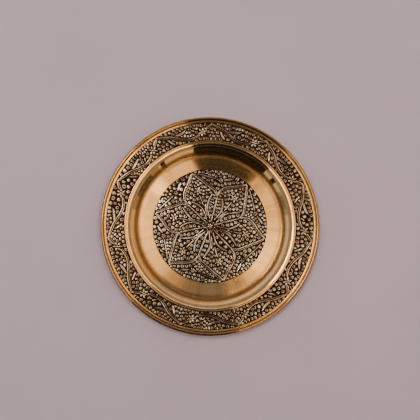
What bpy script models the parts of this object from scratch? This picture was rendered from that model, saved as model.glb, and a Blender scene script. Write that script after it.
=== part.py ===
"""A round brass tray: a sheet dished to a flat well, an S-shaped wall and a wide flange.

The edge of the sheet is curled round a wire. The centre of the well and the flange each have a
shallow sunk ground, filled with black, that the chased ornament stands out of.

Metres, +Z up. The origin is on the tray's axis, on the surface that it lies on.
"""

from math import cos, radians, sin, tan

import bpy

MM = 0.001

# Plan
OUTER_RADIUS = 101.5 * MM
MEDALLION_RADIUS = 53.3 * MM
FLOOR_RADIUS = 65.6 * MM
WALL_RADIUS = 72.8 * MM
BAND_INNER_RADIUS = 79.5 * MM
BAND_OUTER_RADIUS = 96.2 * MM
MARGIN_RADIUS = 97.9 * MM

# Section
SHEET = 1.2 * MM
RECESS_DEPTH = 0.8 * MM
COVE_RADIUS = 6.0 * MM
SHOULDER_RADIUS = 8.3 * MM
WALL_SLOPE = 44.0
FLANGE_SLOPE = 2.5

# Curled edge: the sheet thins towards it, and a groove parts it from the margin
BEAD_RADIUS = 1.5 * MM
BEAD_SHEET = 0.7 * MM
BEAD_DROP = 0.5 * MM
GROOVE_WIDTH = 0.45 * MM
GROOVE_DEPTH = 0.35 * MM
CURL_START = 165.0
CURL_END = -145.0
CURL_MOUTH = 187.0

# Pieces held by the sheet
CLEARANCE = 0.3 * MM
WIRE_RADIUS = BEAD_RADIUS - BEAD_SHEET - CLEARANCE
INFILL_LIFT = 0.25 * MM
INFILL_THICKNESS = 0.25 * MM

AROUND = 96
WIRE_SIDES = 8

BRASS = (0.72, 0.47, 0.22)
BRASS_WIRE = (0.66, 0.42, 0.18)
BLACK_FILL = (0.018, 0.014, 0.011)


class Walk:
    """A line in the half plane of the section, drawn outwards from a point by runs and bends."""

    def __init__(self, r, z):
        self.r, self.z, self.slope = r, z, 0.0
        self.points = [(r, z)]
        self.slopes = [0.0]

    def add(self):
        self.points.append((self.r, self.z))
        self.slopes.append(self.slope)

    def run_to(self, r):
        self.z += (r - self.r) * tan(radians(self.slope))
        self.r = r
        self.add()

    def bend(self, radius, slope, steps):
        """Turns to the given slope on an arc that is hollow when the slope grows, else rounded."""
        start = self.slope
        way = 1.0 if slope > start else -1.0
        r, z = self.r, self.z
        for step in range(1, steps + 1):
            self.slope = start + (slope - start) * step / steps
            self.r = r + way * radius * (sin(radians(self.slope)) - sin(radians(start)))
            self.z = z + way * radius * (cos(radians(start)) - cos(radians(self.slope)))
            self.add()

    def height_at(self, r):
        """Height of the drawn line at this radius."""
        for (r0, z0), (r1, z1) in zip(self.points, self.points[1:]):
            if r0 <= r <= r1:
                return z0 + (z1 - z0) * (r - r0) / (r1 - r0)
        return self.z


def upper_line():
    """The sheet's upper face from the axis to the groove, with no recess in it."""
    line = Walk(0.0, SHEET)
    line.run_to(FLOOR_RADIUS)
    line.bend(COVE_RADIUS, WALL_SLOPE, 5)
    line.run_to(WALL_RADIUS)
    line.bend(SHOULDER_RADIUS, FLANGE_SLOPE, 5)
    line.run_to(MARGIN_RADIUS)
    return line


UPPER = upper_line()
BEAD_CENTRE = (OUTER_RADIUS - BEAD_RADIUS, UPPER.z - BEAD_DROP)


def on_bead(radius, angle):
    """The point of the curled edge at this distance and angle from its wire's centre."""
    r, z = BEAD_CENTRE
    return (r + radius * cos(radians(angle)), z + radius * sin(radians(angle)))


def bead_arc(radius, start, end, steps):
    return [on_bead(radius, start + (end - start) * i / steps) for i in range(steps + 1)]


def recess(inner, outer):
    """The sunk ground between two radii, seen from above, and the edges that close it."""
    low = [(r, UPPER.height_at(r) - RECESS_DEPTH) for r in (inner, outer)]
    high = [(r, UPPER.height_at(r)) for r in (inner, outer)]
    if inner == 0.0:
        return low + [high[1]]
    return [high[0]] + low + [high[1]]


def upper_face():
    """The upper face with both recesses, up to the groove beside the curled edge."""
    wall = [p for p in UPPER.points if MEDALLION_RADIUS < p[0] < BAND_INNER_RADIUS]
    groove_floor = (MARGIN_RADIUS + GROOVE_WIDTH, UPPER.z - GROOVE_DEPTH)
    margin = [(MARGIN_RADIUS, UPPER.z), groove_floor]
    medallion = recess(0.0, MEDALLION_RADIUS)
    return medallion + wall + recess(BAND_INNER_RADIUS, BAND_OUTER_RADIUS) + margin


def under_face():
    """The underside from the groove back to the axis, one sheet's thickness below the upper face."""
    below = [(MARGIN_RADIUS + GROOVE_WIDTH, UPPER.z - GROOVE_DEPTH - BEAD_SHEET)]
    for (r, z), slope in reversed(list(zip(UPPER.points, UPPER.slopes))[:-1]):
        tilt = radians(slope)
        below.append((r + SHEET * sin(tilt), z - SHEET * cos(tilt)))
    band_edge = BAND_OUTER_RADIUS + 0.4 * MM
    below.insert(1, (band_edge, UPPER.height_at(band_edge) - SHEET))
    return below


def tray_section():
    """The sheet's whole outline: out along the top, round the wire, and back underneath."""
    outside = bead_arc(BEAD_RADIUS, CURL_START, CURL_END, 13)
    inside = bead_arc(BEAD_RADIUS - BEAD_SHEET, CURL_END, CURL_MOUTH, 10)
    return upper_face() + outside + inside + under_face()


def band_section():
    """The black fill of the flange, which follows the flange's slope."""
    inner = BAND_INNER_RADIUS + CLEARANCE
    outer = BAND_OUTER_RADIUS - CLEARANCE
    base = INFILL_LIFT - RECESS_DEPTH
    top = base + INFILL_THICKNESS
    corners = ((inner, top), (outer, top), (outer, base), (inner, base), (inner, top))
    return [(r, UPPER.height_at(r) + lift) for r, lift in corners]


def material(name, colour, roughness, metallic):
    made = bpy.data.materials.new(name)
    made.use_nodes = True
    made.diffuse_color = (*colour, 1.0)
    shader = made.node_tree.nodes["Principled BSDF"]
    shader.inputs["Base Color"].default_value = (*colour, 1.0)
    shader.inputs["Roughness"].default_value = roughness
    shader.inputs["Metallic"].default_value = metallic
    return made


def turned(name, section, collection):
    """A turned piece: its section, in the XZ plane, swept once round the tray's axis."""
    mesh = bpy.data.meshes.new(name)
    points = [(r, 0.0, z) for r, z in section]
    mesh.from_pydata(points, [(i, i + 1) for i in range(len(points) - 1)], [])
    piece = bpy.data.objects.new(name, mesh)
    collection.objects.link(piece)
    screw = piece.modifiers.new("Turn", "SCREW")
    screw.axis = "Z"
    screw.steps = AROUND
    screw.render_steps = AROUND
    screw.use_merge_vertices = True
    screw.merge_threshold = 0.00001
    screw.use_smooth_shade = True
    return piece


def tray_body(collection):
    piece = turned("tray_body", tray_section(), collection)
    piece.data.materials.append(material("brass", BRASS, 0.30, 1.0))


def rim_band_infill(collection):
    piece = turned("rim_band_infill", band_section(), collection)
    weld = piece.modifiers.new("Close", "WELD")
    weld.merge_threshold = 0.00001
    piece.data.materials.append(material("band_fill", BLACK_FILL, 0.62, 0.0))


def settle(piece, name, collection):
    """Names a new primitive and moves it to the tray's collection."""
    piece.name = name
    piece.data.name = name
    for holder in list(piece.users_collection):
        holder.objects.unlink(piece)
    collection.objects.link(piece)
    return piece


def medallion_infill(collection):
    bpy.ops.mesh.primitive_cylinder_add(
        vertices=AROUND,
        radius=MEDALLION_RADIUS - CLEARANCE,
        depth=INFILL_THICKNESS,
        location=(0.0, 0.0, SHEET - RECESS_DEPTH + INFILL_LIFT + INFILL_THICKNESS / 2),
    )
    piece = settle(bpy.context.object, "medallion_infill", collection)
    piece.data.materials.append(material("medallion_fill", BLACK_FILL, 0.62, 0.0))


def rim_wire(collection):
    bpy.ops.mesh.primitive_torus_add(
        major_segments=AROUND,
        minor_segments=WIRE_SIDES,
        major_radius=BEAD_CENTRE[0],
        minor_radius=WIRE_RADIUS,
        location=(0.0, 0.0, BEAD_CENTRE[1]),
    )
    piece = settle(bpy.context.object, "rim_wire", collection)
    piece.data.shade_smooth()
    piece.data.materials.append(material("wire", BRASS_WIRE, 0.35, 1.0))


def main():
    for old in list(bpy.data.objects):
        bpy.data.objects.remove(old)
    collection = bpy.data.collections.new("brass_tray")
    bpy.context.scene.collection.children.link(collection)
    tray_body(collection)
    rim_wire(collection)
    medallion_infill(collection)
    rim_band_infill(collection)


main()
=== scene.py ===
"""A round chased brass tray, seen from above, lying on a pale floor.

The CAD's sheet is shown again with a finer surface, and its two black fills get the chased relief
that stands out of them. The wire inside the curled edge is the CAD's own.

Metres, +Z up. Ornament is laid out in plan, in millimetres, with angles clockwise from +Y.
"""

import bpy
import numpy as np
from mathutils import Matrix, Vector
from mathutils.kdtree import KDTree


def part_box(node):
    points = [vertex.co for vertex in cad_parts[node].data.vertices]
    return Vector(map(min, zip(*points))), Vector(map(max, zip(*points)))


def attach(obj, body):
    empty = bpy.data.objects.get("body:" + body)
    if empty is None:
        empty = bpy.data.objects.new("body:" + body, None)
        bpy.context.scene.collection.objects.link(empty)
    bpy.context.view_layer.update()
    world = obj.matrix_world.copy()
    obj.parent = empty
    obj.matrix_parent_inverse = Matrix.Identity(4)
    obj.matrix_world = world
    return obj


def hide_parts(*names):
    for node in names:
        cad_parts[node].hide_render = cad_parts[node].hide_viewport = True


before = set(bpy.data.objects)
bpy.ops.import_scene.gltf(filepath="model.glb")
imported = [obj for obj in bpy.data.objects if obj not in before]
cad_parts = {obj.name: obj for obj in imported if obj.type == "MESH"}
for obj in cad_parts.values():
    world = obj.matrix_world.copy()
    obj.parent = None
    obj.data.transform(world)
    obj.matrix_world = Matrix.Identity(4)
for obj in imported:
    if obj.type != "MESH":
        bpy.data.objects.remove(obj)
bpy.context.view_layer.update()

MM = 0.001


# ---------------------------------------------------------------- measures taken from the CAD

def radii_of(node):
    """Smallest and largest distance of a node's points from the tray's axis."""
    points = np.array([v.co[:2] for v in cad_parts[node].data.vertices])
    radii = np.hypot(points[:, 0], points[:, 1])
    return radii.min(), radii.max()


FILL_GAP = 0.3 * MM  # between a black fill and the sheet around it
FILL_DEPTH = 0.55 * MM  # from the sheet's face down to a fill's underside
FILL_TOP = 0.3 * MM  # from the sheet's face down to a fill's top

SHEET_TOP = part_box("tray_body")[1]
WIRE_LOW, WIRE_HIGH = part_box("rim_wire")
DISC_LOW, DISC_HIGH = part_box("medallion_infill")
RING_LOW, RING_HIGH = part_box("rim_band_infill")

OUTER_RADIUS = SHEET_TOP.x
WIRE_RADIUS = (WIRE_HIGH.z - WIRE_LOW.z) / 2
BEAD_CENTRE = (WIRE_HIGH.x - WIRE_RADIUS, (WIRE_HIGH.z + WIRE_LOW.z) / 2)
BEAD_RADIUS = OUTER_RADIUS - BEAD_CENTRE[0]

FLOOR_HEIGHT = DISC_LOW.z + FILL_DEPTH
MEDALLION_RADIUS = DISC_HIGH.x + FILL_GAP
BAND_INNER = radii_of("rim_band_infill")[0] - FILL_GAP
BAND_OUTER = RING_HIGH.x + FILL_GAP
BAND_INNER_HEIGHT = RING_LOW.z + FILL_DEPTH
BAND_OUTER_HEIGHT = RING_HIGH.z + FILL_TOP
FLANGE_RISE = (BAND_OUTER_HEIGHT - BAND_INNER_HEIGHT) / (BAND_OUTER - BAND_INNER - 2 * FILL_GAP)

FLOOR_RADIUS = 65.6 * MM
WALL_RADIUS = 72.8 * MM
MARGIN_RADIUS = 97.9 * MM
CREASE = 69.3 * MM  # radius of the dark line at the foot of the wall
SHEET = 1.2 * MM
RECESS_DEPTH = 0.8 * MM
GROUND_DEPTH = 0.52 * MM  # of the black ground below the sheet's face
RELIEF_HEIGHT = 0.55 * MM  # of the ornament above the black ground


def floor_height(radius):
    """Height of the well's face, which is level."""
    return FLOOR_HEIGHT


def flange_height(radius):
    """Height of the flange's face at this radius."""
    return BAND_INNER_HEIGHT + (radius - BAND_INNER - FILL_GAP) * FLANGE_RISE


# ---------------------------------------------------------------- objects and meshes

def add_object(name, data):
    obj = bpy.data.objects.new(name, data)
    bpy.context.scene.collection.objects.link(obj)
    return obj


def add_piece(name, points, faces, material):
    """A smooth-shaded piece of the tray, in the row frame, that rides on its only body."""
    mesh = bpy.data.meshes.new(name)
    mesh.from_pydata(np.asarray(points, float).tolist(), [], faces)
    mesh.polygons.foreach_set("use_smooth", [True] * len(mesh.polygons))
    mesh.materials.append(material)
    piece = add_object(name, mesh)
    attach(piece, "root")
    return piece


def add_values(piece, name, values):
    """Stores one number per point, which the piece's material reads."""
    made = piece.data.attributes.new(name, "FLOAT", "POINT")
    made.data.foreach_set("value", np.asarray(values, np.float32))


def ring_faces(rows, columns, closed):
    """Quads between neighbouring rows of points, each row going once round."""
    faces = []
    for i in range(rows if closed else rows - 1):
        low, high = i * columns, (i + 1) % rows * columns
        for j in range(columns):
            k = (j + 1) % columns
            faces.append((low + j, low + k, high + k, high + j))
    return faces


# ---------------------------------------------------------------- camera, floor and light

# The camera stands where it sees the tray's face at the photograph's angle
EYE = Vector((-0.060, -0.076, 0.920))
AIM = Vector((-0.0007, 0.0141, 0.0099))
LENS = 85.0
SENSOR = 36.0


def add_camera():
    data = bpy.data.cameras.new("camera")
    data.lens = LENS
    data.sensor_width = SENSOR
    camera = add_object("camera", data)
    forward = (AIM - EYE).normalized()
    right = forward.cross(Vector((0.0, 1.0, 0.0))).normalized()
    turn = Matrix((right, right.cross(forward), -forward)).transposed()
    camera.matrix_world = Matrix.Translation(EYE) @ turn.to_4x4()
    bpy.context.scene.camera = camera


# Colours of light. CARD_CENTRE is the point that the camera sees in a level mirror at the tray's
# middle, so each side of the turned sheet reflects the cards on its own side of that point.
LIGHT = (1.0, 0.85, 0.66)
GOLD = (1.0, 0.78, 0.48)
PALE = (1.0, 0.88, 0.74)
MILD = (0.93, 0.95, 1.05)
COOL = (0.90, 0.99, 1.35)
DIM = (0.88, 0.94, 1.06)
CARD_HEIGHT = 1.25
CARD_CENTRE = Vector((-EYE.x, -EYE.y)) * CARD_HEIGHT / EYE.z


def emission(name, colour):
    """Light of one colour, as strong as the "glow" of the points that it is on."""
    made = bpy.data.materials.new(name)
    made.use_nodes = True
    tree = made.node_tree
    tree.nodes.remove(tree.nodes["Principled BSDF"])
    glow = tree.nodes.new("ShaderNodeAttribute")
    glow.attribute_name = "glow"
    lamp = tree.nodes.new("ShaderNodeEmission")
    lamp.inputs["Color"].default_value = (*colour, 1.0)
    tree.links.new(glow.outputs["Fac"], lamp.inputs["Strength"])
    tree.links.new(lamp.outputs[0], tree.nodes["Material Output"].inputs["Surface"])
    return made


# Colour, compass angles round CARD_CENTRE, near and far reach in metres, and strength at both
# angles: the flat cards that light the tray, and the dim ones that keep the room off it
CARDS = {
    "right_edge": (LIGHT, 43.0, 50.0, 0.05, 0.28, 1.6, 0.95),
    "right_back": (LIGHT, 50.0, 66.0, 0.05, 0.28, 0.95, 1.9),
    "right_side": (LIGHT, 66.0, 94.0, 0.05, 0.28, 1.6, 1.9),
    "right_bright": (PALE, 94.0, 130.0, 0.05, 0.28, 2.2, 3.1),
    "right_fall": (PALE, 130.0, 153.0, 0.05, 0.28, 2.2, 0.36),
    "right_front": (MILD, 153.0, 168.0, 0.09, 0.28, 0.42, 0.34),
    "right_far": (GOLD, 43.0, 140.0, 0.28, 0.52, 3.0, 3.0),
    "right_far_front": (GOLD, 140.0, 165.0, 0.28, 0.52, 6.0, 6.0),
    "left_front": (MILD, 192.0, 208.0, 0.09, 0.28, 0.38, 0.46),
    "left_rise": (PALE, 208.0, 234.0, 0.05, 0.28, 0.64, 1.6),
    "left_side": (LIGHT, 234.0, 262.0, 0.05, 0.28, 1.7, 2.2),
    "left_dip": (LIGHT, 262.0, 297.0, 0.05, 0.28, 2.0, 1.2),
    "left_bright": (PALE, 297.0, 304.0, 0.05, 0.28, 1.7, 3.8),
    "left_fall": (LIGHT, 304.0, 318.0, 0.05, 0.28, 3.6, 1.6),
    "left_back": (LIGHT, 318.0, 345.0, 0.05, 0.28, 1.6, 2.1),
    "left_far": (PALE, 226.0, 272.0, 0.28, 0.52, 5.0, 6.0),
    "left_far_back": (PALE, 272.0, 316.0, 0.28, 0.52, 14.0, 14.0),
    "back_edge": (LIGHT, 316.0, 345.0, 0.28, 0.52, 1.1, 1.1),
    "back_far": (MILD, -15.0, 43.0, 0.32, 0.70, 0.8, 1.5),
    "front": (COOL, 168.0, 192.0, 0.09, 0.28, 0.36, 0.36),
    "flag_apex": (DIM, 0.0, 360.0, 0.001, 0.05, 0.12, 0.12),
    "flag_back": (DIM, -15.0, 43.0, 0.05, 0.32, 0.015, 0.015),
    "flag_near": (COOL, 153.0, 208.0, 0.05, 0.09, 0.25, 0.25),
    "flag_front": (DIM, 165.0, 226.0, 0.28, 1.3, 0.02, 0.02),
}

CARD_STEPS = 25  # points along a card's arc
SCREEN_STEPS = 17


def add_panel(name, corners, faces, colour, glow):
    """A light or a dark flag, which shows only in what the tray reflects."""
    mesh = bpy.data.meshes.new(name)
    mesh.from_pydata(corners, [], faces)
    mesh.attributes.new("glow", "FLOAT", "POINT").data.foreach_set("value", glow)
    mesh.materials.append(emission(name, colour))
    panel = add_object(name, mesh)
    panel.visible_camera = False


def strip_faces(count):
    """Quads between two rows of this many points."""
    return [(i, i + 1, count + i + 1, count + i) for i in range(count - 1)]


def add_card(name, colour, start, end, near, far, first, last):
    """A flat sector above the camera, whose light goes evenly from its first to its last strength."""
    turns = np.radians(np.linspace(start, end, CARD_STEPS))
    corners = []
    for reach in (near, far):
        for turn in turns:
            x = CARD_CENTRE.x + reach * np.sin(turn)
            y = CARD_CENTRE.y + reach * np.cos(turn)
            corners.append((x, y, CARD_HEIGHT))
    glow = np.tile(np.linspace(first, last, len(turns)), 2).astype(np.float32)
    add_panel(name, corners, strip_faces(len(turns)), colour, glow)


# Colour, compass angles, low and high edge, distance and strength of the upright screens round the
# tray: dark flags, shades and stands, with a warm screen behind those on the right
SCREENS = {
    "flag_low": (DIM, 162.0, 226.0, 0.20, CARD_HEIGHT, 1.30, 0.015),
    "flag_foot": (DIM, 162.0, 226.0, 0.0, 0.20, 1.30, 0.10),
    "shade_right": (GOLD, 96.0, 132.0, 0.02, 0.56, 1.36, 0.42),
    "shade_right_core": (DIM, 106.0, 124.0, 0.04, 0.44, 1.34, 0.08),
    "shade_left": (DIM, 246.0, 266.0, 0.02, 0.45, 1.36, 0.45),
    "shade_left_core": (DIM, 250.0, 261.0, 0.04, 0.36, 1.34, 0.22),
    "warm_right": (GOLD, 45.0, 160.0, 0.0, 0.62, 1.40, 0.95),
    "stand_right": (DIM, 133.8, 138.0, 0.10, 0.78, 1.32, 0.02),
    "stand_left": (DIM, 233.5, 238.2, 0.10, 0.78, 1.32, 0.02),
}


def add_screen(name, colour, start, end, low, high, distance, strength):
    """A curved upright screen between two compass angles and two heights."""
    turns = np.radians(np.linspace(start, end, SCREEN_STEPS))
    corners = []
    for height in (low, high):
        corners.extend((distance * np.sin(turn), distance * np.cos(turn), height) for turn in turns)
    glow = np.full(len(corners), strength, np.float32)
    add_panel(name, corners, strip_faces(len(turns)), colour, glow)


# Height of a direction above the horizon, as the sine of its angle, and the room's brightness there
SKY = ((0.0, 0.95), (0.14, 0.95), (0.34, 0.40), (1.0, 0.26))
SKY_BLUE = 1.04  # the blue part of its light, as a share of the others


def add_room():
    """Surroundings that are bright near the horizon and dim above it."""
    world = bpy.data.worlds.new("room")
    world.use_nodes = True
    tree = world.node_tree
    ramp = tree.nodes.new("ShaderNodeValToRGB")
    elements = ramp.color_ramp.elements
    while len(elements) < len(SKY):
        elements.new(0.5)
    for element, (height, shade) in zip(elements, SKY):
        element.position = height
        element.color = (shade, shade, shade * SKY_BLUE, 1.0)
    split = tree.nodes.new("ShaderNodeSeparateXYZ")
    tree.links.new(tree.nodes.new("ShaderNodeTexCoord").outputs["Generated"], split.inputs[0])
    tree.links.new(split.outputs["Z"], ramp.inputs["Fac"])
    tree.links.new(ramp.outputs["Color"], tree.nodes["Background"].inputs["Color"])
    bpy.context.scene.world = world


def add_lights():
    for name, settings in CARDS.items():
        add_card(name, *settings)
    for name, settings in SCREENS.items():
        add_screen(name, *settings)
    add_room()


FLOOR_REACH = 4.0
FLOOR_LEVEL = -0.05 * MM


def add_floor():
    mesh = bpy.data.meshes.new("floor")
    signs = ((-1, -1), (1, -1), (1, 1), (-1, 1))
    corners = [(x * FLOOR_REACH, y * FLOOR_REACH, FLOOR_LEVEL) for x, y in signs]
    mesh.from_pydata(corners, [], [(0, 1, 2, 3)])
    made = Surface("floor_paint")
    tone = made.noise(made.place(), scale=9.0, detail=4.0)
    made.set("Base Color", made.ramp(tone, ((0.3, (0.77, 0.61, 0.75)), (0.7, (0.82, 0.65, 0.79)))))
    made.set("Roughness", 0.7)
    mesh.materials.append(made.material)
    add_object("floor", mesh)


# ---------------------------------------------------------------- material helpers

class Surface:
    """A Principled material and short calls that add nodes to it."""

    def __init__(self, name):
        self.material = bpy.data.materials.new(name)
        self.material.use_nodes = True
        self.tree = self.material.node_tree
        self.shader = self.tree.nodes["Principled BSDF"]

    def node(self, kind, inputs=(), **settings):
        made = self.tree.nodes.new("ShaderNode" + kind)
        for key, value in settings.items():
            setattr(made, key, value)
        for key, value in dict(inputs).items():
            self.feed(made.inputs[key], value)
        return made

    def feed(self, socket, value):
        if isinstance(value, bpy.types.NodeSocket):
            self.tree.links.new(value, socket)
        elif isinstance(value, tuple) and len(value) == 3 and socket.type == "RGBA":
            socket.default_value = (*value, 1.0)
        else:
            socket.default_value = value

    def set(self, name, value):
        self.feed(self.shader.inputs[name], value)

    def math(self, operation, first, second=0.0):
        return self.node("Math", {0: first, 1: second}, operation=operation).outputs[0]

    def add(self, first, second):
        return self.math("ADD", first, second)

    def times(self, first, second):
        return self.math("MULTIPLY", first, second)

    def largest(self, first, second):
        return self.math("MAXIMUM", first, second)

    def place(self):
        return self.node("TexCoord").outputs["Object"]

    def noise(self, vector, scale, detail=3.0, roughness=0.5):
        inputs = {"Vector": vector, "Scale": scale, "Detail": detail, "Roughness": roughness}
        return self.node("TexNoise", inputs).outputs["Fac"]

    def ramp(self, factor, stops):
        made = self.node("ValToRGB", {"Fac": factor})
        elements = made.color_ramp.elements
        while len(elements) < len(stops):
            elements.new(0.5)
        for element, (position, colour) in zip(elements, stops):
            element.position = position
            element.color = (*colour, 1.0)
        return made.outputs["Color"]

    def range(self, value, low, high, to_low=0.0, to_high=1.0):
        inputs = {"Value": value, "From Min": low, "From Max": high, "To Min": to_low, "To Max": to_high}
        return self.node("MapRange", inputs, interpolation_type="SMOOTHSTEP").outputs["Result"]

    def blend(self, factor, first, second):
        made = self.node("Mix", data_type="RGBA")
        self.feed(made.inputs["Factor"], factor)
        self.feed(made.inputs[6], first)
        self.feed(made.inputs[7], second)
        return made.outputs[2]

    def bump(self, height, distance):
        inputs = {"Height": height, "Distance": distance, "Strength": 1.0}
        self.set("Normal", self.node("Bump", inputs).outputs["Normal"])

    def polar(self):
        """Distance from the tray's axis and the outward direction's two parts."""
        x, y, _ = self.node("SeparateXYZ", {0: self.place()}).outputs
        radius = self.math("SQRT", self.add(self.times(x, x), self.times(y, y)))
        safe = self.largest(radius, 0.1 * MM)
        return radius, self.math("DIVIDE", x, safe), self.math("DIVIDE", y, safe)

    def turned(self, polar, radial, around):
        """Coordinates for marks that run round the axis: fine across them and long along them."""
        radius, east, north = polar
        parts = {
            "X": self.times(radius, radial),
            "Y": self.times(east, around),
            "Z": self.times(north, around),
        }
        return self.node("CombineXYZ", parts).outputs[0]

    def near(self, radius, centre, reach):
        """1 at this distance from the axis, falling to 0 at reach from it."""
        away = self.math("ABSOLUTE", self.math("SUBTRACT", radius, centre))
        return self.range(away, 0.0, reach, 1.0, 0.0)

    def spun_metal(self, roughness):
        """Metal whose gloss is drawn out across marks that run round the axis."""
        self.set("Metallic", 1.0)
        self.set("Roughness", roughness)
        self.set("Anisotropic", 1.0)
        self.set("Anisotropic Rotation", 0.25)
        tangent = self.node("Tangent", direction_type="RADIAL", axis="Z")
        self.set("Tangent", tangent.outputs[0])


# ---------------------------------------------------------------- materials

# Colour of tarnish, and of the shade painted in the crease and at the wall's foot
TARNISH_AND_SHADE = (0.17, 0.075, 0.022)


def shade_and_tarnish_of(made, radius):
    """Painted shade in the crease and at the wall's foot, and tarnish in the groove and in spots."""
    # Painted shade: the crease and the wall's foot are made darker in the colour, standing in for shade
    crease_shade = made.times(made.near(radius, CREASE, 2.4 * MM), 0.85)
    foot_shade_rise = made.range(radius, FLOOR_RADIUS - 3.0 * MM, CREASE - 1.8 * MM, 0.0, 0.75)
    foot_shade_end = made.range(radius, CREASE, CREASE + 2.2 * MM, 1.0, 0.0)
    groove = made.times(made.near(radius, MARGIN_RADIUS + 0.4 * MM, 0.8 * MM), 0.8)
    spots = made.range(made.noise(made.place(), 110.0, 3.0, 0.6), 0.58, 0.74, 0.0, 0.12)
    tarnish_and_shade = made.largest(crease_shade, groove)
    tarnish_and_shade = made.largest(tarnish_and_shade, made.times(foot_shade_rise, foot_shade_end))
    return made.largest(tarnish_and_shade, spots)


def spun_brass():
    """The polished sheet: turned marks, wiped patches, tarnish and painted shade, a paler wall and a
    browner edge.
    """
    made = Surface("spun_brass")
    polar = made.polar()
    radius = polar[0]
    marks = made.noise(made.turned(polar, 2600.0, 1.2), 1.0, 3.0, 0.5)
    fine = made.noise(made.turned(polar, 7000.0, 2.0), 1.0, 1.0, 0.5)
    rays = made.noise(made.turned(polar, 12.0, 9.0), 1.0, 4.0, 0.6)
    patches = made.noise(made.place(), 38.0, 5.0, 0.6)
    wall = made.near(radius, WALL_RADIUS, 6.5 * MM)
    edge = made.range(radius, MARGIN_RADIUS + 0.3 * MM, MARGIN_RADIUS + 0.9 * MM)
    tarnish_and_shade = shade_and_tarnish_of(made, radius)
    colour = made.ramp(patches, ((0.3, (0.82, 0.42, 0.14)), (0.7, (0.88, 0.465, 0.165))))
    colour = made.blend(made.range(rays, 0.38, 0.66, 0.0, 0.8), colour, (0.68, 0.335, 0.11))
    colour = made.blend(made.times(wall, 0.5), colour, (0.86, 0.55, 0.26))
    colour = made.blend(made.times(edge, 0.85), colour, (0.36, 0.20, 0.075))
    # Tarnish, and the painted shade at the crease and the wall's foot, darken the colour
    made.set("Base Color", made.blend(tarnish_and_shade, colour, TARNISH_AND_SHADE))
    made.spun_metal(made.add(made.range(marks, 0.3, 0.7, 0.08, 0.11), made.times(tarnish_and_shade, 0.16)))
    made.bump(made.add(marks, made.times(fine, 0.35)), 0.00014 * MM)
    return made.material


# Colours of the relief where its tone is 0 and where it is 1
MEDALLION_METAL = ((0.53, 0.465, 0.40), (0.61, 0.435, 0.30))
BAND_METAL = ((0.385, 0.31, 0.25), (0.50, 0.32, 0.20))
WORN_METAL = (0.20, 0.125, 0.065)
RELIEF_FOOT = (0.050, 0.026, 0.010)


def chased_brass(name, plain, warm):
    """Relief rubbed bright on top, dark down its sides where the black fill holds on."""
    made = Surface(name)
    rise = made.node("Attribute", attribute_name="rise").outputs["Fac"]
    tone = made.node("Attribute", attribute_name="tone").outputs["Fac"]
    grain = made.noise(made.place(), 900.0, 4.0, 0.6)
    wear = made.noise(made.place(), 120.0, 4.0, 0.6)
    marks = made.noise(made.turned(made.polar(), 2600.0, 2.0), 1.0, 4.0, 0.6)
    metal = made.blend(tone, plain, warm)
    metal = made.blend(made.range(wear, 0.34, 0.66, 0.0, 0.9), metal, WORN_METAL)
    height = made.add(rise, made.times(made.math("SUBTRACT", grain, 0.5), 0.25))
    rubbed = made.range(height, 0.45, 0.95)
    made.set("Base Color", made.blend(rubbed, RELIEF_FOOT, metal))
    dull = made.times(made.math("SUBTRACT", 1.0, rubbed), 0.2)
    made.spun_metal(made.add(made.range(marks, 0.3, 0.7, 0.075, 0.115), dull))
    made.bump(grain, 0.004 * MM)
    return made.material


def black_fill(name):
    """Matt black lac, grainy and a little dusty."""
    made = Surface(name)
    grain = made.noise(made.place(), 1400.0, 5.0, 0.7)
    dust = made.noise(made.place(), 90.0, 3.0, 0.6)
    blacks = ((0.35, (0.012, 0.005, 0.002)), (0.75, (0.035, 0.016, 0.005)))
    made.set("Base Color", made.ramp(dust, blacks))
    made.set("Roughness", made.range(grain, 0.3, 0.7, 0.55, 0.75))
    made.set("Specular IOR Level", 0.2)
    made.set("Specular Tint", (1.0, 0.5, 0.2))
    made.bump(grain, 0.03 * MM)
    return made.material


def drawn_wire():
    made = Surface("drawn_wire")
    grain = made.noise(made.turned(made.polar(), 6000.0, 30.0), 1.0, 4.0, 0.6)
    made.set("Metallic", 1.0)
    made.set("Base Color", made.ramp(grain, ((0.3, (0.42, 0.24, 0.09)), (0.7, (0.66, 0.41, 0.18)))))
    made.set("Roughness", made.range(grain, 0.3, 0.7, 0.32, 0.5))
    made.bump(grain, 0.01 * MM)
    return made.material


# ---------------------------------------------------------------- the sheet

class Walk:
    """A line in the half plane of the section, drawn outwards from a point by runs and bends."""

    def __init__(self, r, z, slope=0.0):
        self.r, self.z, self.slope = r, z, slope
        self.points = [(r, z)]
        self.slopes = [slope]

    def add(self, r, z, slope):
        self.r, self.z, self.slope = r, z, slope
        self.points.append((r, z))
        self.slopes.append(slope)

    def run_to(self, r, steps=1):
        start_r, start_z = self.r, self.z
        for i in range(1, steps + 1):
            now = start_r + (r - start_r) * i / steps
            self.add(now, start_z + (now - start_r) * np.tan(np.radians(self.slope)), self.slope)

    def bend(self, radius, slope, steps):
        """Turns to the given slope on an arc that is hollow when the slope grows, else rounded."""
        way = 1.0 if slope > self.slope else -1.0
        first, r, z = np.radians(self.slope), self.r, self.z
        for angle in np.radians(np.linspace(self.slope, slope, steps + 1)[1:]):
            across = way * radius * (np.sin(angle) - np.sin(first))
            up = way * radius * (np.cos(first) - np.cos(angle))
            self.add(r + across, z + up, np.degrees(angle))


# The section of the wall and of the curled edge, whose angles are from straight outwards
WALL_SLOPE = 44.0
COVE_RADIUS = 6.0 * MM
SHOULDER_RADIUS = 8.3 * MM
GROOVE = 0.45 * MM
GROOVE_DEPTH = 0.35 * MM
BEAD_SHEET = 0.7 * MM
CURL_START = 165.0
CURL_END = -145.0
CURL_MOUTH = 187.0

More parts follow.
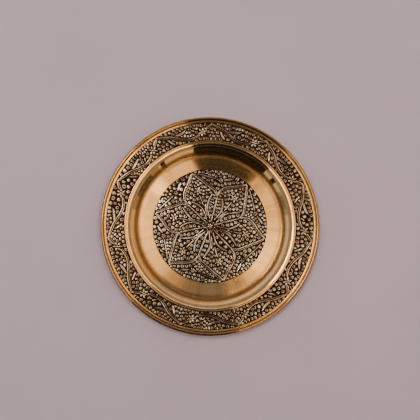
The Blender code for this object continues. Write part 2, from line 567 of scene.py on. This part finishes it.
# Away from a sunk ground's edge and down from the sheet's face
EDGE_ROUNDING = (
    (0.0, RECESS_DEPTH), (0.03 * MM, 0.30 * MM), (0.10 * MM, 0.08 * MM), (0.24 * MM, 0.01 * MM),
)
EDGE_REACH = 0.5 * MM  # from a sunk ground to where the sheet's face is plain


def recess_edge(radius, height, way):
    """The small rounded edge beside a sunk ground. way is 1 if the ground lies inside it."""
    return [(radius + way * out, height - drop) for out, drop in EDGE_ROUNDING]


def upper_face():
    """The upper face from the axis to the groove, and the stretch of it between the two grounds."""
    wall = Walk(MEDALLION_RADIUS + EDGE_REACH, FLOOR_HEIGHT)
    wall.run_to(FLOOR_RADIUS, 10)
    wall.bend(COVE_RADIUS, WALL_SLOPE, 16)
    wall.run_to(WALL_RADIUS, 3)
    wall.bend(SHOULDER_RADIUS, np.degrees(np.arctan(FLANGE_RISE)), 18)
    plain = BAND_INNER - EDGE_REACH
    inner = [(plain, flange_height(plain))]
    inner += recess_edge(BAND_INNER, flange_height(BAND_INNER), -1.0)[::-1]
    outer = recess_edge(BAND_OUTER, flange_height(BAND_OUTER), 1.0)
    margin = [(r, flange_height(r)) for r in np.linspace(BAND_OUTER + EDGE_REACH, MARGIN_RADIUS, 5)]
    medallion = [(0.0, FLOOR_HEIGHT - RECESS_DEPTH)] + recess_edge(MEDALLION_RADIUS, FLOOR_HEIGHT, 1.0)
    return medallion + wall.points + inner + outer + margin, wall


def on_bead(radius, start, end, count):
    """Points of an arc round the middle of the curled edge."""
    r, z = BEAD_CENTRE
    angles = np.radians(np.linspace(start, end, count))
    return [(r + radius * np.cos(a), z + radius * np.sin(a)) for a in angles]


def curled_edge():
    """The groove, the outside of the curl and back along its inside."""
    bottom = flange_height(MARGIN_RADIUS) - GROOVE_DEPTH
    groove = [(MARGIN_RADIUS + 0.16 * MM, bottom + 0.16 * MM), (MARGIN_RADIUS + GROOVE, bottom)]
    outside = on_bead(BEAD_RADIUS, CURL_START, CURL_END, 30)
    inside = on_bead(BEAD_RADIUS - BEAD_SHEET, CURL_END, CURL_MOUTH, 18)
    return groove + outside + inside


def under_face(wall):
    """The underside, one sheet's thickness below the upper face, back to the axis."""
    edge = MARGIN_RADIUS + GROOVE
    below = [(edge, flange_height(MARGIN_RADIUS) - GROOVE_DEPTH - BEAD_SHEET)]
    flange = np.linspace(BAND_OUTER + 0.4 * MM, wall.r + 2 * MM, 6)
    below += [(r, flange_height(r) - SHEET) for r in flange]
    for (r, z), slope in reversed(list(zip(wall.points, wall.slopes))):
        if r < FLOOR_RADIUS - 0.1 * MM:
            break
        tilt = np.radians(slope)
        below.append((r + SHEET * np.sin(tilt), z - SHEET * np.cos(tilt)))
    return below + [(0.0, FLOOR_HEIGHT - SHEET)]


SEGMENTS = 600
# Waves round the tray, turn with radius, phase, and height in mm
WAVES = ((2, 30.0, 0.4, 0.030), (3, -55.0, 2.1, 0.022), (5, 80.0, 4.0, 0.012), (9, 140.0, 1.2, 0.005))
RESTING = 0.3 * MM  # height up to which the sheet keeps its true shape, so that it lies flat
OUT_OF_ROUND = 0.0006  # the most that the sheet is drawn in, as a share of its radius


def unevenness(radius, angle):
    """How far hand work left the sheet from true, in metres, at each point."""
    total = np.zeros_like(angle)
    for around, across, phase, size in WAVES:
        total += size * MM * np.sin(around * angle + across * radius + phase)
    return total


def tray_sheet(material):
    top, wall = upper_face()
    profile = top + curled_edge() + under_face(wall)
    axis_ends = (profile[0], profile[-1])
    line = np.array(profile[1:-1])
    angle = np.linspace(0.0, 2 * np.pi, SEGMENTS, endpoint=False)
    radius = np.repeat(line[:, 0], SEGMENTS)
    height = np.repeat(line[:, 1], SEGMENTS)
    turn = np.tile(angle, len(line))
    free = np.clip((height - RESTING) / (0.8 * MM), 0.0, 1.0)
    height = height + unevenness(radius, turn) * free
    radius = radius * (1.0 - OUT_OF_ROUND * (1.0 + np.sin(3 * turn + 1.0)) / 2)
    points = np.stack([radius * np.sin(turn), radius * np.cos(turn), height], axis=1)
    points = np.vstack([points, [(0.0, 0.0, z) for _, z in axis_ends]])
    faces = ring_faces(len(line), SEGMENTS, closed=False)
    first, last = len(points) - 2, len(points) - 1
    end_row = (len(line) - 1) * SEGMENTS
    for j in range(SEGMENTS):
        k = (j + 1) % SEGMENTS
        faces.append((first, k, j))
        faces.append((last, end_row + j, end_row + k))
    piece = add_piece("tray_sheet", points, faces, material)
    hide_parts("tray_body")


# ---------------------------------------------------------------- black grounds

GROUND_GAP = 0.05 * MM  # between a ground and the sheet around it
GROUND_COLUMNS = 360
GROUND_STEP = 0.9 * MM
GROUND_HOLE = 0.6 * MM  # radius of the pinhole on the axis, under the middle flower
GROUND_GRAIN = 0.018 * MM
GROUND_RIM = 0.12 * MM


def ground_row(radius, heights):
    angle = np.linspace(0.0, 2 * np.pi, GROUND_COLUMNS, endpoint=False)
    return np.stack([radius * np.sin(angle), radius * np.cos(angle), heights], axis=1)


def ground(name, node, inner, outer, face_height, material, seed):
    """The black fill's uneven surface between two radii, with a rim that turns down."""
    rng = np.random.default_rng(seed)
    steps = int((outer - inner) / GROUND_STEP)
    inner = max(inner, GROUND_HOLE)
    rows = []
    for r in np.linspace(inner, outer, steps + 1):
        grain = rng.normal(0.0, GROUND_GRAIN, GROUND_COLUMNS)
        rows.append(ground_row(r, face_height(r) - GROUND_DEPTH + grain))
    for r in (outer, inner):
        rows.append(ground_row(r, np.full(GROUND_COLUMNS, face_height(r) - GROUND_DEPTH - GROUND_RIM)))
    faces = ring_faces(len(rows), GROUND_COLUMNS, closed=True)
    piece = add_piece(name, np.vstack(rows), faces, material)
    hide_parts(node)


# ---------------------------------------------------------------- relief

# Lengths here are in millimetres. A section lists distances from a stroke's middle as a share of half
# its width, each with a share of its height, where None is the foot, sunk in the black ground.
ROUND = (
    (-1.0, None), (-0.94, 0.6), (-0.76, 0.95), (-0.4, 0.991), (0.0, 1.0),
    (0.4, 0.991), (0.76, 0.95), (0.94, 0.6), (1.0, None),
)
GROOVED = ((-1.0, None), (-0.9, 0.7), (-0.55, 1.0), (0.0, 0.88), (0.55, 1.0), (0.9, 0.7), (1.0, None))
VEINED = (
    (-1.0, None), (-0.92, 0.62), (-0.62, 0.97), (-0.3, 0.92), (0.0, 0.78),
    (0.3, 0.92), (0.62, 0.97), (0.92, 0.62), (1.0, None),
)

# Over a bead: share of its radius, and share of its height, from the foot to beside the middle
PLAIN_BEAD = ((1.0, None), (0.96, 0.5), (0.87, 0.92), (0.56, 0.985), (0.2, 1.0))
EYED_BEAD = ((1.0, None), (0.96, 0.5), (0.88, 0.95), (0.46, 1.0), (0.3, 0.4))
FOOT = -0.35  # height of a foot, as a share of the relief's height
SHARP_EDGE = 35.0  # least angle between two faces that are not shaded as one

STEP = 0.5  # along a stroke
END_HEIGHT = 0.45  # of a stroke's first and last point, as a share of its height
END_RISE = 0.4  # gained at each point from there
RIDGE_STEP = 4  # rows of a double stroke from one given point of its ridges to the next
RIDGE_WIDTH = 1.1  # of the greater of two ridges
RIDGE_GAP = 1.55  # between the middles of two ridges
THIN = 0.58  # width of the lesser ridge, as a share of the other

PETALS = 6
PETAL = ((0.18, 0.4), (0.45, 1.0), (0.75, 0.85), (1.0, 0.25))  # shares of a petal's reach and width
PETAL_WIDTH = 0.42  # share of a flower's size, as are the next two
BOSS_RADIUS = 0.17
FLOWER_GROUND = 0.55  # radius round a flower that beads keep out of

RAYS = 16  # points round a bead
RAY_ANGLES = np.linspace(0.0, 2 * np.pi, RAYS, endpoint=False)
RAY_WAYS = np.stack([np.cos(RAY_ANGLES), np.sin(RAY_ANGLES)], axis=1)
BEAD_SIZE = (1.62, 0.2)  # usual radius of a bead, and its spread
LEAST_REACH, MOST_REACH = 0.35, 2.3
SMALLEST_BEAD = 0.5  # mean reach below which a bead is left out
SMALLEST_EYED = 1.2  # mean reach below which a bead has no dent
BEAD_TURN = 0.25  # spread of how far a bead is turned from facing the axis, radians
SQUARE = 8.0  # how square a bead is: 2 is round
TILT = 0.05  # spread of how far one side of a bead's top is raised, as a share of its height
TILT_REACH = 1.7  # from a bead's middle to where it is raised that far
EYE_HEIGHT = 0.2  # of the bottom of a dent, as a share of its bead's height
UNEVEN = 0.07  # how far a bead's outline is from true, as a share of its size

GRID = 0.6  # step of the grid that free ground is found on
CELL = 13.5  # ground for each bead, square millimetres
PACKED = 0.86  # share of that ground which is free
GAP = 0.9  # between beads
FREE_GAP = GAP * 0.7  # from free ground to a stroke
FREE_BORDER = FREE_GAP * 0.6  # from free ground to a border
NEIGHBOURS = 4  # points of strokes that free ground is tested against
STROKE_GAP = 0.8 * GAP  # between a bead and a stroke
BORDER_GAP = 0.45 * GAP  # between a bead and a border
BEAD_SIGHT, STROKE_SIGHT = 8.0, 4.5  # how far round a bead its neighbours are looked for
LEAST_FACING = 0.08  # cosine between a ray and the way to a wall, below which it misses the wall
NO_WALL = 99.0
ROUNDS = 24  # of evening out the beads' places


def spline(a, b, c, d, t):
    """Points from b to c on the smooth curve through a, b, c and d."""
    square = 2 * a - 5 * b + 4 * c - d
    cube = 3 * b - a - 3 * c + d
    return 0.5 * (2 * b + (c - a) * t + square * t**2 + cube * t**3)


def curve_through(points):
    """Rows (x, y, width) at even steps along a smooth curve through the given rows."""
    rows = np.asarray(points, float)
    padded = np.vstack([2 * rows[0] - rows[1], rows, 2 * rows[-1] - rows[-2]])
    t = np.linspace(0.0, 1.0, 12, endpoint=False)[:, None]
    out = [spline(*four, t) for four in zip(padded, padded[1:], padded[2:], padded[3:])]
    dense = np.vstack(out + [rows[-1:]])
    run = np.concatenate([[0.0], np.cumsum(np.hypot(*np.diff(dense[:, :2], axis=0).T))])
    even = np.linspace(0.0, run[-1], max(3, int(round(run[-1] / STEP)) + 1))
    return np.stack([np.interp(even, run, dense[:, k]) for k in range(3)], axis=1)


def normals_of(path):
    """Unit vectors to the left of a path of (x, y) points."""
    along = np.gradient(path, axis=0)
    along /= np.maximum(np.hypot(along[:, 0], along[:, 1]), 1e-9)[:, None]
    return np.stack([-along[:, 1], along[:, 0]], axis=1)


def room_within(walls):
    """How far each ray of a bead can go. A wall is a row (x, y, distance, distance that is free)."""
    wall = np.array(walls)
    facing = RAY_WAYS @ (wall[:, :2] / wall[:, 2:3]).T
    room = wall[:, 3] / np.maximum(facing, LEAST_FACING)
    return np.where(facing > LEAST_FACING, room, NO_WALL).min(axis=1)


class Relief:
    """Raised work on one ground: points in plan, each with its share of the relief's height."""

    def __init__(self, inner, outer, seed):
        self.inner, self.outer = inner, outer
        self.rng = np.random.default_rng(seed)
        self.plan, self.rise, self.tone, self.faces = [], [], [], []
        self.solid = []  # rows (x, y, half width) along every stroke

    def add(self, plan, rise, tone, faces):
        start = len(self.plan)
        self.plan.extend(plan)
        self.rise.extend(rise)
        self.tone.extend([tone] * len(plan))
        self.faces.extend(tuple(start + i for i in face) for face in faces)

    def stroke(self, points, shape=ROUND, height=1.0, tone=0.3):
        """A ridge along a smooth curve through rows (x, y, width)."""
        rows = curve_through(points)
        side = normals_of(rows[:, :2])
        half = rows[:, 2] / 2
        ends = np.minimum(np.arange(len(rows)), np.arange(len(rows))[::-1])
        lift = np.clip(END_HEIGHT + ends * END_RISE, 0.0, 1.0) * height
        plan, rise = [], []
        for (x, y, _), normal, w, up in zip(rows, side, half, lift):
            for across, share in shape:
                plan.append((x + normal[0] * w * across, y + normal[1] * w * across))
                rise.append(FOOT if share is None else share * up)
        n = len(shape)
        faces = []
        for i in range(len(rows) - 1):
            for j in range(n):
                k = (j + 1) % n
                faces.append((i * n + j, (i + 1) * n + j, (i + 1) * n + k, i * n + k))
        faces.append(tuple(range(n)))
        faces.append(tuple(range((len(rows) - 1) * n, len(rows) * n))[::-1])
        self.add(plan, rise, tone, faces)
        self.solid.extend(zip(rows[:, 0], rows[:, 1], half))

    def double(self, points, apart=RIDGE_GAP, tone=0.5):
        """Two thin ridges side by side. The third value of a point scales the gap between them."""
        rows = curve_through(points)
        side = normals_of(rows[:, :2])
        offset = (rows[:, 2] * apart / 2)[:, None] * side
        for way, share in ((-1.0, THIN), (1.0, 1.0)):
            line = rows[:, :2] + way * offset
            sample = line[::RIDGE_STEP]
            if (len(line) - 1) % RIDGE_STEP:
                sample = np.vstack([sample, line[-1:]])
            self.stroke([(x, y, RIDGE_WIDTH * share) for x, y in sample], height=share**0.5, tone=tone)
        self.solid.extend((x, y, apart / 2 * gap) for x, y, gap in rows)

    def flower(self, x, y, size, turn, tone=0.9):
        """Six pointed petals round a boss."""
        middle = np.array((x, y))
        width = size * PETAL_WIDTH
        for i in range(PETALS):
            angle = turn + 2 * np.pi * i / PETALS
            way = np.array((np.sin(angle), np.cos(angle)))
            rows = [(*(middle + way * size * far), width * wide) for far, wide in PETAL]
            self.stroke(rows, GROOVED, tone=tone)
        self.bead((x, y), np.full(RAYS, size * BOSS_RADIUS), False, tone)
        self.solid.append((x, y, size * FLOWER_GROUND))

    def bead(self, centre, reach, eyed, tone):
        """A punched bead with this reach at each of its rays, with or without a dent in its top."""
        rays = RAY_WAYS * reach[:, None]
        lean = self.rng.normal(0.0, TILT, 2)
        plan, rise = [], []
        for share, up in EYED_BEAD if eyed else PLAIN_BEAD:
            plan.extend(np.asarray(centre) + rays * share)
            rise.extend([FOOT] * RAYS if up is None else up * (1.0 + share * rays @ lean / TILT_REACH))
        plan.append(centre)
        rise.append(EYE_HEIGHT if eyed else 1.0)
        rings = len(PLAIN_BEAD)
        faces = ring_faces(rings, RAYS, closed=False)
        last = (rings - 1) * RAYS
        faces.extend((last + j, last + (j + 1) % RAYS, rings * RAYS) for j in range(RAYS))
        faces.append(tuple(range(RAYS))[::-1])
        self.add(plan, rise, tone, faces)

    def fill(self):
        """Packs the free ground with beads, after their places have been evened out."""
        free = self.free_points()
        count = int(len(free) * GRID**2 / (CELL * PACKED))
        seeds = free[self.rng.choice(len(free), count, replace=False)]
        for _ in range(ROUNDS):
            nearest = nearest_of(free, seeds)
            amount = np.bincount(nearest, minlength=count)
            sums = [np.bincount(nearest, free[:, k], count) / np.maximum(amount, 1) for k in (0, 1)]
            seeds = np.where(amount[:, None] > 0, np.stack(sums, axis=1), seeds)
        self.beads_at(seeds)

    def free_points(self):
        """Points of a square grid that no stroke or border comes near."""
        line = np.arange(-self.outer, self.outer, GRID)
        grid = np.stack(np.meshgrid(line, line), axis=-1).reshape(-1, 2)
        radius = np.hypot(grid[:, 0], grid[:, 1])
        grid = grid[(radius < self.outer - FREE_BORDER) & (radius > self.inner + FREE_BORDER)]
        solid = np.asarray(self.solid)
        keep = np.ones(len(grid), bool)
        tree = tree_of(solid[:, :2])
        for i, point in enumerate(grid):
            for _, j, far in tree.find_n((*point, 0.0), NEIGHBOURS):
                if far < solid[j, 2] + FREE_GAP:
                    keep[i] = False
                    break
        return grid[keep]

    def beads_at(self, seeds):
        """A bead at each place, no larger than its neighbours, the strokes and the borders allow."""
        solid = np.asarray(self.solid)
        seed_tree, solid_tree = tree_of(seeds), tree_of(solid[:, :2])
        for i, seed in enumerate(seeds):
            walls = []
            for _, j, far in seed_tree.find_range((*seed, 0.0), BEAD_SIGHT):
                if j != i:
                    walls.append((*(seeds[j] - seed), far, (far - GAP) / 2))
            for _, j, far in solid_tree.find_range((*seed, 0.0), STROKE_SIGHT):
                walls.append((*(solid[j, :2] - seed), far, far - solid[j, 2] - STROKE_GAP))
            walls.extend(self.borders_from(seed))
            reach = self.hand_cut(seed, room_within(walls))
            eyed, tone = self.rng.random() < 0.5, self.rng.random() * 0.5
            if reach.mean() > SMALLEST_BEAD:
                self.bead(seed, reach, eyed and reach.mean() > SMALLEST_EYED, tone)

    def borders_from(self, place):
        """Rows for room_within for the ground's own edges."""
        radius = np.hypot(*place)
        borders = [(*place, radius, self.outer - radius - BORDER_GAP)]
        if self.inner > 0.0:
            borders.append((*-place, radius, radius - self.inner - BORDER_GAP))
        return borders

    def hand_cut(self, place, room):
        """A bead's reach at each ray: a rounded square, cut down to the room, and a little uneven."""
        turned = RAY_ANGLES + np.arctan2(*place) + self.rng.normal(0.0, BEAD_TURN)
        across = np.abs(np.cos(turned)) ** SQUARE + np.abs(np.sin(turned)) ** SQUARE
        square = 1.0 / across ** (1 / SQUARE)
        reach = np.minimum(np.clip(room, LEAST_REACH, MOST_REACH), self.rng.normal(*BEAD_SIZE) * square)
        reach = reach * self.rng.normal(1.0, UNEVEN, RAYS)
        return 0.6 * reach + 0.2 * np.roll(reach, 1) + 0.2 * np.roll(reach, -1)

    def build(self, name, face_height, material):
        """Makes the piece. face_height gives the height of the sheet's face at a radius."""
        plan = np.asarray(self.plan) * MM
        rise = np.asarray(self.rise)
        radius = np.hypot(plan[:, 0], plan[:, 1])
        z = np.array([face_height(r) - GROUND_DEPTH for r in radius]) + rise * RELIEF_HEIGHT
        piece = add_piece(name, np.column_stack([plan, z]), self.faces, material)
        piece.data.set_sharp_from_angle(angle=np.radians(SHARP_EDGE))
        add_values(piece, "rise", np.clip(rise, 0.0, 1.0))
        add_values(piece, "tone", self.tone)


def tree_of(points):
    tree = KDTree(len(points))
    for i, (x, y) in enumerate(points):
        tree.insert((x, y, 0.0), i)
    tree.balance()
    return tree


def nearest_of(points, seeds):
    tree = tree_of(seeds)
    return np.array([tree.find((x, y, 0.0))[1] for x, y in points])


# ---------------------------------------------------------------- medallion

# Compass angles of the six stems, as the hand that set them out left them
STEMS = (14.0, 75.0, 137.0, 202.0, 258.0, 314.0)
TIP_SHARE = 0.4525  # of the way from one stem to the next, where their branches meet


def at(angle, radius):
    """Plan point at a compass angle in degrees."""
    turn = np.radians(angle)
    return radius * np.sin(turn), radius * np.cos(turn)


# Branches: share of the way from the stem to the tip, radius, and a value that scales the gap
RIGHT_BRANCH = (
    (0.0, 29.0, 0.2), (0.066, 33.6, 0.6), (0.22, 37.2, 1.0), (0.41, 40.2, 1.0),
    (0.66, 43.5, 1.0), (0.87, 48.0, 0.9), (1.0, 52.6, 0.2),
)
LEFT_BRANCH = (
    (0.0, 28.0, 0.2), (0.05, 30.2, 0.6), (0.19, 33.8, 1.0), (0.37, 36.4, 1.0),
    (0.585, 40.1, 1.0), (0.76, 44.7, 1.0), (0.91, 49.1, 0.9), (1.0, 52.4, 0.2),
)

# Strokes of one sector: compass angle from its stem, radius and width
STEM_RIDGE = ((0.0, 4.6, 0.5), (0.0, 9.5, 0.8), (0.0, 15.0, 1.3), (0.0, 22.0, 1.6), (0.0, 28.6, 1.2))
ALMOND_LEFT = (
    (-9.2, 31.2, 0.5), (-12.4, 28.0, 1.5), (-15.0, 25.4, 1.9), (-19.4, 21.4, 1.7),
    (-22.8, 17.2, 1.1), (-21.0, 12.0, 0.8), (-14.0, 6.0, 0.6),
)
ALMOND_RIGHT = (
    (8.4, 28.6, 0.5), (12.4, 26.0, 1.5), (16.2, 23.4, 1.9), (20.2, 20.2, 1.5),
    (23.0, 16.4, 1.0), (23.0, 12.0, 0.8), (18.0, 6.2, 0.6),
)
VEIN_LEFT = ((-24.5, 21.8, 0.6), (-27.5, 18.5, 1.0), (-29.0, 14.0, 0.8), (-29.0, 9.5, 0.5))
OUTER_LEAF = ((2.2, 44.6, 0.6), (5.5, 45.8, 1.8), (8.4, 47.3, 2.3), (11.0, 48.4, 1.8), (13.2, 48.9, 0.6))
OUTER_HOOK = ((-19.1, 48.9, 0.6), (-15.6, 50.7, 1.4), (-12.4, 51.2, 0.7))
OUTER_VINE = ((-20.0, 47.6, 0.8), (-9.7, 45.0, 0.8), (-3.5, 44.3, 0.6))
AXIS_STEM = ((1.5, 19.5, 0.6), (0.8, 25.0, 0.9), (0.0, 30.6, 0.8))

CENTRE_RAYS = 18
CENTRE_RAY_START = 3.3


def polar_rows(stem, points):
    """Rows (x, y, width) for points given by compass angle from a stem, radius and width."""
    return [(*at(stem + angle, radius), width) for angle, radius, width in points]


def branch_rows(stem, reach, points):
    """Rows along a branch whose tip lies this many degrees from its stem."""
    return polar_rows(stem, [(reach * share, radius, gap) for share, radius, gap in points])


def medallion_sector(relief, stem, to_left, to_right):
    """One stem with its almond, its two branches and the vine, leaf and flower outside them."""
    relief.stroke(polar_rows(stem, STEM_RIDGE))
    relief.double(branch_rows(stem, to_right, RIGHT_BRANCH))
    relief.double(branch_rows(stem, -to_left, LEFT_BRANCH))
    relief.stroke(polar_rows(stem, ALMOND_LEFT), tone=0.15)
    relief.stroke(polar_rows(stem, ALMOND_RIGHT), tone=0.15)
    relief.stroke(polar_rows(stem, VEIN_LEFT), tone=0.4)
    relief.stroke(polar_rows(stem, OUTER_LEAF), VEINED, tone=0.2)
    relief.stroke(polar_rows(stem, OUTER_HOOK), tone=0.2)
    relief.stroke(polar_rows(stem, ((-to_left * 0.86, 50.6, 0.6),) + OUTER_VINE), tone=0.3)
    relief.flower(*at(stem - 0.5, 44.2), 2.6, np.radians(stem), tone=0.7)


def medallion_axis(relief, angle):
    """The thin stem and star flower inside a petal."""
    relief.stroke(polar_rows(angle, AXIS_STEM), tone=0.3)
    relief.flower(*at(angle, 34.6), 4.3, np.radians(angle + 30.0))


def medallion_centre(relief):
    """The flower in the middle and the short rays round it."""
    relief.flower(0.0, 0.0, 2.9, 0.2, tone=1.0)
    for i in range(CENTRE_RAYS):
        start, end = CENTRE_RAY_START, 6.4 + 1.6 * np.sin(5.0 * i)
        ray = ((0.0, start, 0.4), (0.0, (start + end) / 2, 0.6), (0.0, end, 0.4))
        relief.stroke(polar_rows(360.0 * (i + 0.5) / CENTRE_RAYS, ray), tone=0.6)


def medallion_relief(material):
    relief = Relief(0.0, MEDALLION_RADIUS / MM, 11)
    count = len(STEMS)
    for i, stem in enumerate(STEMS):
        ahead = (STEMS[(i + 1) % count] - stem) % 360.0
        behind = (stem - STEMS[i - 1]) % 360.0
        medallion_sector(relief, stem, behind * (1.0 - TIP_SHARE), ahead * TIP_SHARE)
        medallion_axis(relief, stem + ahead * TIP_SHARE)
    medallion_centre(relief)
    relief.fill()
    relief.build("medallion_relief", floor_height, material)


# ---------------------------------------------------------------- flange band

REPEATS = 11

# One repeat of the running vine: share of the repeat, share of the band's width from its outer edge,
# and a width, or for the two double lines a value that scales the gap
BAND_VINE = (
    (0.0, 0.05, 0.3), (0.17, 0.30, 1.0), (0.28, 0.45, 1.0), (0.42, 0.70, 1.0),
    (0.51, 0.80, 1.0), (0.62, 0.84, 1.0), (0.73, 0.75, 0.8), (0.80, 0.64, 0.3),
)
BAND_JUNCTION = ((0.90, 0.40, 0.4), (0.94, 0.30, 1.0), (0.985, 0.19, 1.0), (1.02, 0.07, 0.3))
BAND_LEAF = (
    (0.32, 0.40, 0.6), (0.38, 0.42, 2.4), (0.44, 0.40, 2.7), (0.50, 0.35, 2.2), (0.57, 0.25, 0.5),
)
BAND_SPUR = ((0.17, 0.42, 0.6), (0.20, 0.58, 1.9), (0.24, 0.76, 2.2), (0.29, 0.93, 0.6))
BAND_TWIG = ((0.60, 0.72, 0.5), (0.63, 0.60, 1.3), (0.66, 0.50, 0.5))
BAND_FLOWER = (0.85, 0.51)


def band_unit(relief, start, pitch):
    """One repeat of the running vine, from its first compass angle."""
    width = relief.outer - relief.inner

    def rows(points):
        return [(*at(start + u * pitch, relief.outer - v * width), w) for u, v, w in points]

    relief.double(rows(BAND_VINE))
    relief.double(rows(BAND_JUNCTION), apart=1.5)
    relief.stroke(rows(BAND_LEAF), VEINED, tone=0.3)
    relief.stroke(rows(BAND_SPUR), VEINED, tone=0.3)
    relief.stroke(rows(BAND_TWIG), tone=0.2)
    u, v = BAND_FLOWER
    turn = start + u * pitch
    relief.flower(*at(turn, relief.outer - v * width), 4.6, np.radians(turn + 12.0), tone=0.8)


def band_relief(material):
    relief = Relief(BAND_INNER / MM, BAND_OUTER / MM, 23)
    pitch = 360.0 / REPEATS
    for i in range(REPEATS):
        band_unit(relief, i * pitch, pitch)
    relief.fill()
    relief.build("rim_band_relief", flange_height, material)


# ---------------------------------------------------------------- the whole


def main():
    add_camera()
    add_lights()
    add_floor()
    tray_sheet(spun_brass())
    fill = black_fill("black_lac")
    ground("medallion_ground", "medallion_infill", 0.0, MEDALLION_RADIUS - GROUND_GAP,
           floor_height, fill, 5)
    ground("rim_band_ground", "rim_band_infill", BAND_INNER + GROUND_GAP, BAND_OUTER - GROUND_GAP,
           flange_height, fill, 6)
    medallion_relief(chased_brass("medallion_brass", *MEDALLION_METAL))
    band_relief(chased_brass("band_brass", *BAND_METAL))
    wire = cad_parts["rim_wire"]
    wire.material_slots[0].material = drawn_wire()


main()
